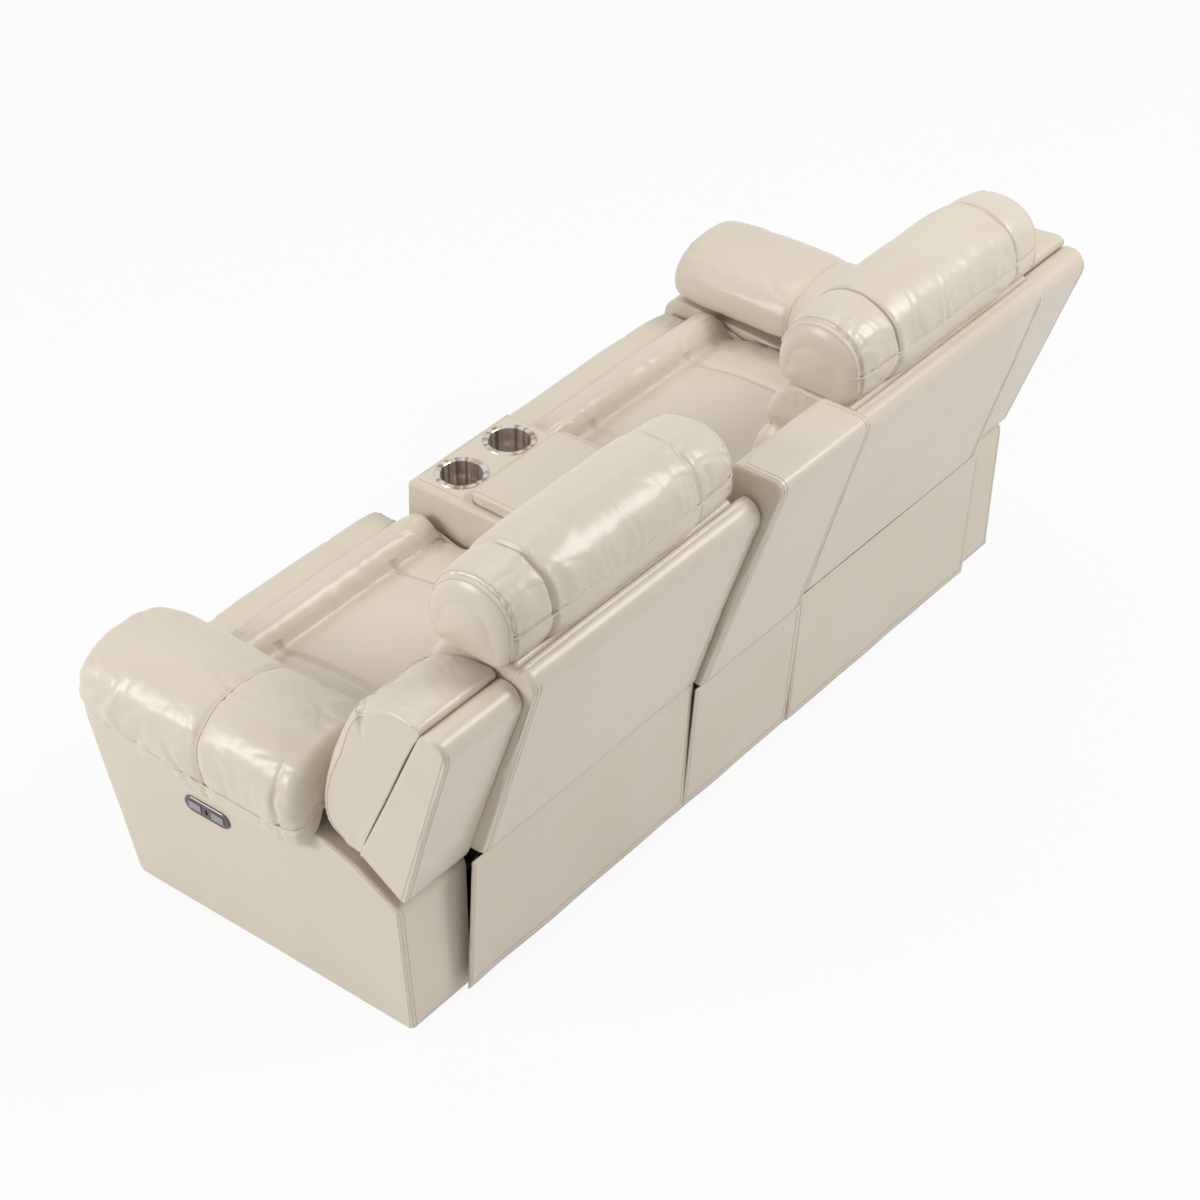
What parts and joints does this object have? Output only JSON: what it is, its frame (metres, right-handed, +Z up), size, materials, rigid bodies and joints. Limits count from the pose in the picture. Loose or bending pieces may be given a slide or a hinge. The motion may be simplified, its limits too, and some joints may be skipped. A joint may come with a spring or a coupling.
{
  "type": "reclining loveseat",
  "caption": "Power reclining loveseat: padded console with cup holders and a lidded bin between the seats, winged backs, pillow arms with switches, folding leg rests.",
  "frame": {"origin": "on the floor, on the mirror plane, midway between the foremost and the rearmost point", "axes": "+X to the sitter's left, -Y to the front, +Z up"},
  "size_m": [2.0076, 0.9676, 0.9816],
  "materials": {
    "ivory_leather": "semi-gloss grained",
    "black_steel": "satin black",
    "plywood": "raw",
    "stained_wood": "black stain",
    "dust_cloth": "matte",
    "cup_steel": "polished",
    "hinge_steel": "satin",
    "switch_metal": "dark anodised",
    "switch_button": "satin",
    "black_plastic": "matte"
  },
  "bodies": {
    "base": {"base_rails": "stained_wood", "feet": "black_plastic", "arm_frames": "plywood", "left_arm_cover": "ivory_leather", "right_arm_cover": "ivory_leather", "left_arm_pillow": "ivory_leather", "right_arm_pillow": "ivory_leather", "switch_bezels": "switch_metal", "dust_cover": "dust_cloth", "console_cover": "ivory_leather", "console_frame": "plywood", "power_supply": "black_plastic", "cup_holders": "cup_steel", "lid_hinge_base": "hinge_steel", "centre_back_cover": "ivory_leather", "centre_back_frame": "plywood", "centre_skirt": "ivory_leather", "seat_rails": "plywood", "seat_springs": "black_steel", "left_seat_cushion": "ivory_leather", "right_seat_cushion": "ivory_leather", "side_plates": "black_steel", "drive_motors": "black_plastic", "left_rear_flap": "ivory_leather", "right_rear_flap": "ivory_leather"},
    "left_back": {"left_back_shell": "ivory_leather", "left_back_frame": "plywood", "left_back_cushion": "ivory_leather", "left_headrest": "ivory_leather", "left_wing_shell": "ivory_leather", "left_wing_pad": "ivory_leather", "left_back_brackets": "black_steel"},
    "left_swing": {"left_swing_links": "black_steel"},
    "left_cross": {"left_cross_links": "black_steel"},
    "left_short": {"left_short_links": "black_steel"},
    "left_legrest": {"left_legrest_arms": "black_steel", "left_legrest_board": "plywood", "left_legrest_pad": "ivory_leather"},
    "left_drive": {"left_drive_rod": "black_steel"},
    "left_recline_button": {"left_recline_button": "switch_button"},
    "left_return_button": {"left_return_button": "switch_button"},
    "right_back": {"right_back_shell": "ivory_leather", "right_back_frame": "plywood", "right_back_cushion": "ivory_leather", "right_headrest": "ivory_leather", "right_wing_shell": "ivory_leather", "right_wing_pad": "ivory_leather", "right_back_brackets": "black_steel"},
    "right_swing": {"right_swing_links": "black_steel"},
    "right_cross": {"right_cross_links": "black_steel"},
    "right_short": {"right_short_links": "black_steel"},
    "right_legrest": {"right_legrest_arms": "black_steel", "right_legrest_board": "plywood", "right_legrest_pad": "ivory_leather"},
    "right_drive": {"right_drive_rod": "black_steel"},
    "right_recline_button": {"right_recline_button": "switch_button"},
    "right_return_button": {"right_return_button": "switch_button"},
    "lid": {"lid_board": "plywood", "lid_pad": "ivory_leather", "lid_hinge_leaf": "hinge_steel"}
  },
  "joints": [
    {"name": "left_recline", "type": "hinge", "parent": "base", "child": "left_back", "pos_m": [0.468, 0.226, 0.24], "axis": [-1, 0, 0], "range_deg": [0, 38], "deforming": ["left_rear_flap"]},
    {"name": "left_swing", "type": "hinge", "parent": "base", "child": "left_swing", "pos_m": [0.468, -0.33, 0.29], "axis": [-1, 0, 0], "range_deg": [0, 76]},
    {"name": "left_cross", "type": "hinge", "parent": "left_swing", "child": "left_cross", "pos_m": [0.468, -0.34316, 0.18281], "axis": [-1, 0, 0], "range_deg": [-152, 0]},
    {"name": "left_short", "type": "hinge", "parent": "left_swing", "child": "left_short", "pos_m": [0.468, -0.35632, 0.07561], "axis": [-1, 0, 0], "range_deg": [-152, 0]},
    {"name": "left_legrest", "type": "hinge", "parent": "left_cross", "child": "left_legrest", "pos_m": [0.468, -0.35632, 0.29], "axis": [-1, 0, 0], "range_deg": [0, 152]},
    {"name": "left_drive", "type": "slide", "parent": "base", "child": "left_drive", "axis": [0, -1, 0], "range_m": [0, 0.06157]},
    {"name": "left_recline_button", "type": "slide", "parent": "base", "child": "left_recline_button", "axis": [-0.9976, 0, 0.0698], "range_m": [0, 0.0015], "stiffness_N_per_m": 800, "springref_m": -0.001},
    {"name": "left_return_button", "type": "slide", "parent": "base", "child": "left_return_button", "axis": [-0.9976, 0, 0.0698], "range_m": [0, 0.0015], "stiffness_N_per_m": 800, "springref_m": -0.001},
    {"name": "right_recline", "type": "hinge", "parent": "base", "child": "right_back", "pos_m": [-0.468, 0.226, 0.24], "axis": [-1, 0, 0], "range_deg": [0, 38], "deforming": ["right_rear_flap"]},
    {"name": "right_swing", "type": "hinge", "parent": "base", "child": "right_swing", "pos_m": [-0.468, -0.33, 0.29], "axis": [-1, 0, 0], "range_deg": [0, 76]},
    {"name": "right_cross", "type": "hinge", "parent": "right_swing", "child": "right_cross", "pos_m": [-0.468, -0.34316, 0.18281], "axis": [-1, 0, 0], "range_deg": [-152, 0]},
    {"name": "right_short", "type": "hinge", "parent": "right_swing", "child": "right_short", "pos_m": [-0.468, -0.35632, 0.07561], "axis": [-1, 0, 0], "range_deg": [-152, 0]},
    {"name": "right_legrest", "type": "hinge", "parent": "right_cross", "child": "right_legrest", "pos_m": [-0.468, -0.35632, 0.29], "axis": [-1, 0, 0], "range_deg": [0, 152]},
    {"name": "right_drive", "type": "slide", "parent": "base", "child": "right_drive", "axis": [0, -1, 0], "range_m": [0, 0.06157]},
    {"name": "right_recline_button", "type": "slide", "parent": "base", "child": "right_recline_button", "axis": [0.9976, 0, 0.0698], "range_m": [0, 0.0015], "stiffness_N_per_m": 800, "springref_m": -0.001},
    {"name": "right_return_button", "type": "slide", "parent": "base", "child": "right_return_button", "axis": [0.9976, 0, 0.0698], "range_m": [0, 0.0015], "stiffness_N_per_m": 800, "springref_m": -0.001},
    {"name": "lid", "type": "hinge", "parent": "base", "child": "lid", "pos_m": [0, 0.0725, 0.4935], "axis": [-1, 0, 0], "range_deg": [0, 95]}
  ],
  "couplings": [
    {"joint": "left_swing", "follows": "left_recline", "ratio": 2},
    {"joint": "left_cross", "follows": "left_recline", "ratio": -4},
    {"joint": "left_short", "follows": "left_recline", "ratio": -4},
    {"joint": "left_legrest", "follows": "left_recline", "ratio": 4},
    {"joint": "left_drive", "follows": "left_recline", "m_per_rad": 0.092828},
    {"joint": "right_swing", "follows": "right_recline", "ratio": 2},
    {"joint": "right_cross", "follows": "right_recline", "ratio": -4},
    {"joint": "right_short", "follows": "right_recline", "ratio": -4},
    {"joint": "right_legrest", "follows": "right_recline", "ratio": 4},
    {"joint": "right_drive", "follows": "right_recline", "m_per_rad": 0.092828}
  ]
}
